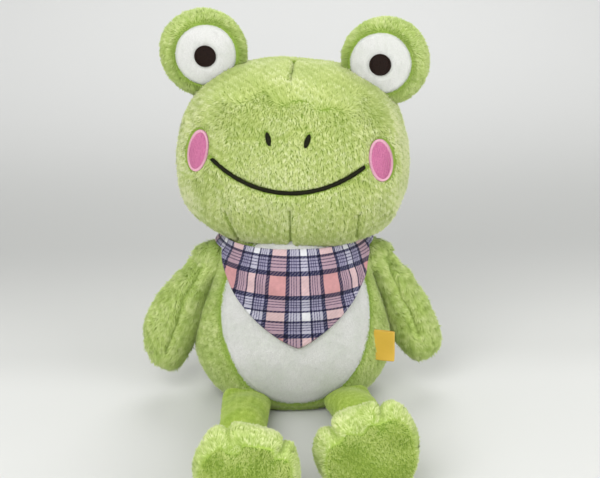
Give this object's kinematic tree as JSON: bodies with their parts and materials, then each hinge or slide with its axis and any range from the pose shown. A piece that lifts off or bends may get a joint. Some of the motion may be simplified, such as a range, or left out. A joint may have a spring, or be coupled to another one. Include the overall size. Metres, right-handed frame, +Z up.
{
  "type": "plush frog",
  "caption": "Seated stuffed frog with a wide head, round eye bumps, white belly panel, mitten arms, three-toed feet and a triangular plaid bandana.",
  "frame": {"origin": "centre of the flat seat, on the surface that the frog sits on", "axes": "+Z up, the frog faces -Y and its left side is at +X"},
  "size_m": [0.259, 0.3193, 0.3337],
  "materials": {
    "green_plush": "medium pile plush, apple green",
    "leg_plush": "short smooth pile, brighter green",
    "sole_plush": "short pile, darker green",
    "white_plush": "short pile, off-white",
    "filling": "white polyester fibre",
    "dark_brown_thread": "satin stitch, dark brown",
    "olive_black_thread": "satin stitch, olive black",
    "pink_thread": "satin stitch, pink with a paler edge",
    "plaid_cotton": "brushed twill, pink, lavender and navy plaid",
    "yellow_ribbon": "satin ribbon, yellow"
  },
  "bodies": {
    "torso": {"torso_skin": "green_plush", "belly_panel": "white_plush", "torso_stuffing": "filling", "bandana": "plaid_cotton", "bandana_knot": "plaid_cotton", "side_label": "yellow_ribbon"},
    "head": {"face_panel": "green_plush", "head_back": "green_plush", "head_stuffing": "filling", "mouth_line": "olive_black_thread", "eye_bump_left": "green_plush", "eye_white_left": "white_plush", "pupil_left": "dark_brown_thread", "eye_stuffing_left": "filling", "nostril_left": "olive_black_thread", "cheek_left": "pink_thread", "eye_bump_right": "green_plush", "eye_white_right": "white_plush", "pupil_right": "dark_brown_thread", "eye_stuffing_right": "filling", "nostril_right": "olive_black_thread", "cheek_right": "pink_thread"},
    "arm_left": {"arm_skin_left": "green_plush", "arm_stuffing_left": "filling"},
    "leg_left": {"leg_skin_left": "leg_plush", "leg_stuffing_left": "filling"},
    "foot_left": {"foot_upper_left": "leg_plush", "foot_sole_left": "sole_plush", "foot_stuffing_left": "filling"},
    "arm_right": {"arm_skin_right": "green_plush", "arm_stuffing_right": "filling"},
    "leg_right": {"leg_skin_right": "leg_plush", "leg_stuffing_right": "filling"},
    "foot_right": {"foot_upper_right": "leg_plush", "foot_sole_right": "sole_plush", "foot_stuffing_right": "filling"}
  },
  "joints": [
    {"name": "head_nod", "type": "hinge", "parent": "torso", "child": "head", "pos_m": [0, 0.00577, 0.11], "axis": [1, 0, 0], "range_deg": [-8, 12]},
    {"name": "shoulder_left", "type": "hinge", "parent": "torso", "child": "arm_left", "pos_m": [0.067, 0.004, 0.121], "axis": [-1, 0, 0], "range_deg": [-20, 85]},
    {"name": "shoulder_right", "type": "hinge", "parent": "torso", "child": "arm_right", "pos_m": [-0.067, 0.004, 0.121], "axis": [-1, 0, 0], "range_deg": [-20, 85]},
    {"name": "hip_left", "type": "hinge", "parent": "torso", "child": "leg_left", "pos_m": [0.042, -0.041, 0.0123], "axis": [1, 0, 0], "range_deg": [0, 80]},
    {"name": "hip_right", "type": "hinge", "parent": "torso", "child": "leg_right", "pos_m": [-0.042, -0.041, 0.0123], "axis": [1, 0, 0], "range_deg": [0, 80]},
    {"name": "ankle_left", "type": "hinge", "parent": "leg_left", "child": "foot_left", "pos_m": [0.05459, -0.165, 0.0193], "axis": [1, 0, 0], "range_deg": [-15, 25]},
    {"name": "ankle_right", "type": "hinge", "parent": "leg_right", "child": "foot_right", "pos_m": [-0.05183, -0.193, 0.0193], "axis": [1, 0, 0], "range_deg": [-15, 25]}
  ]
}
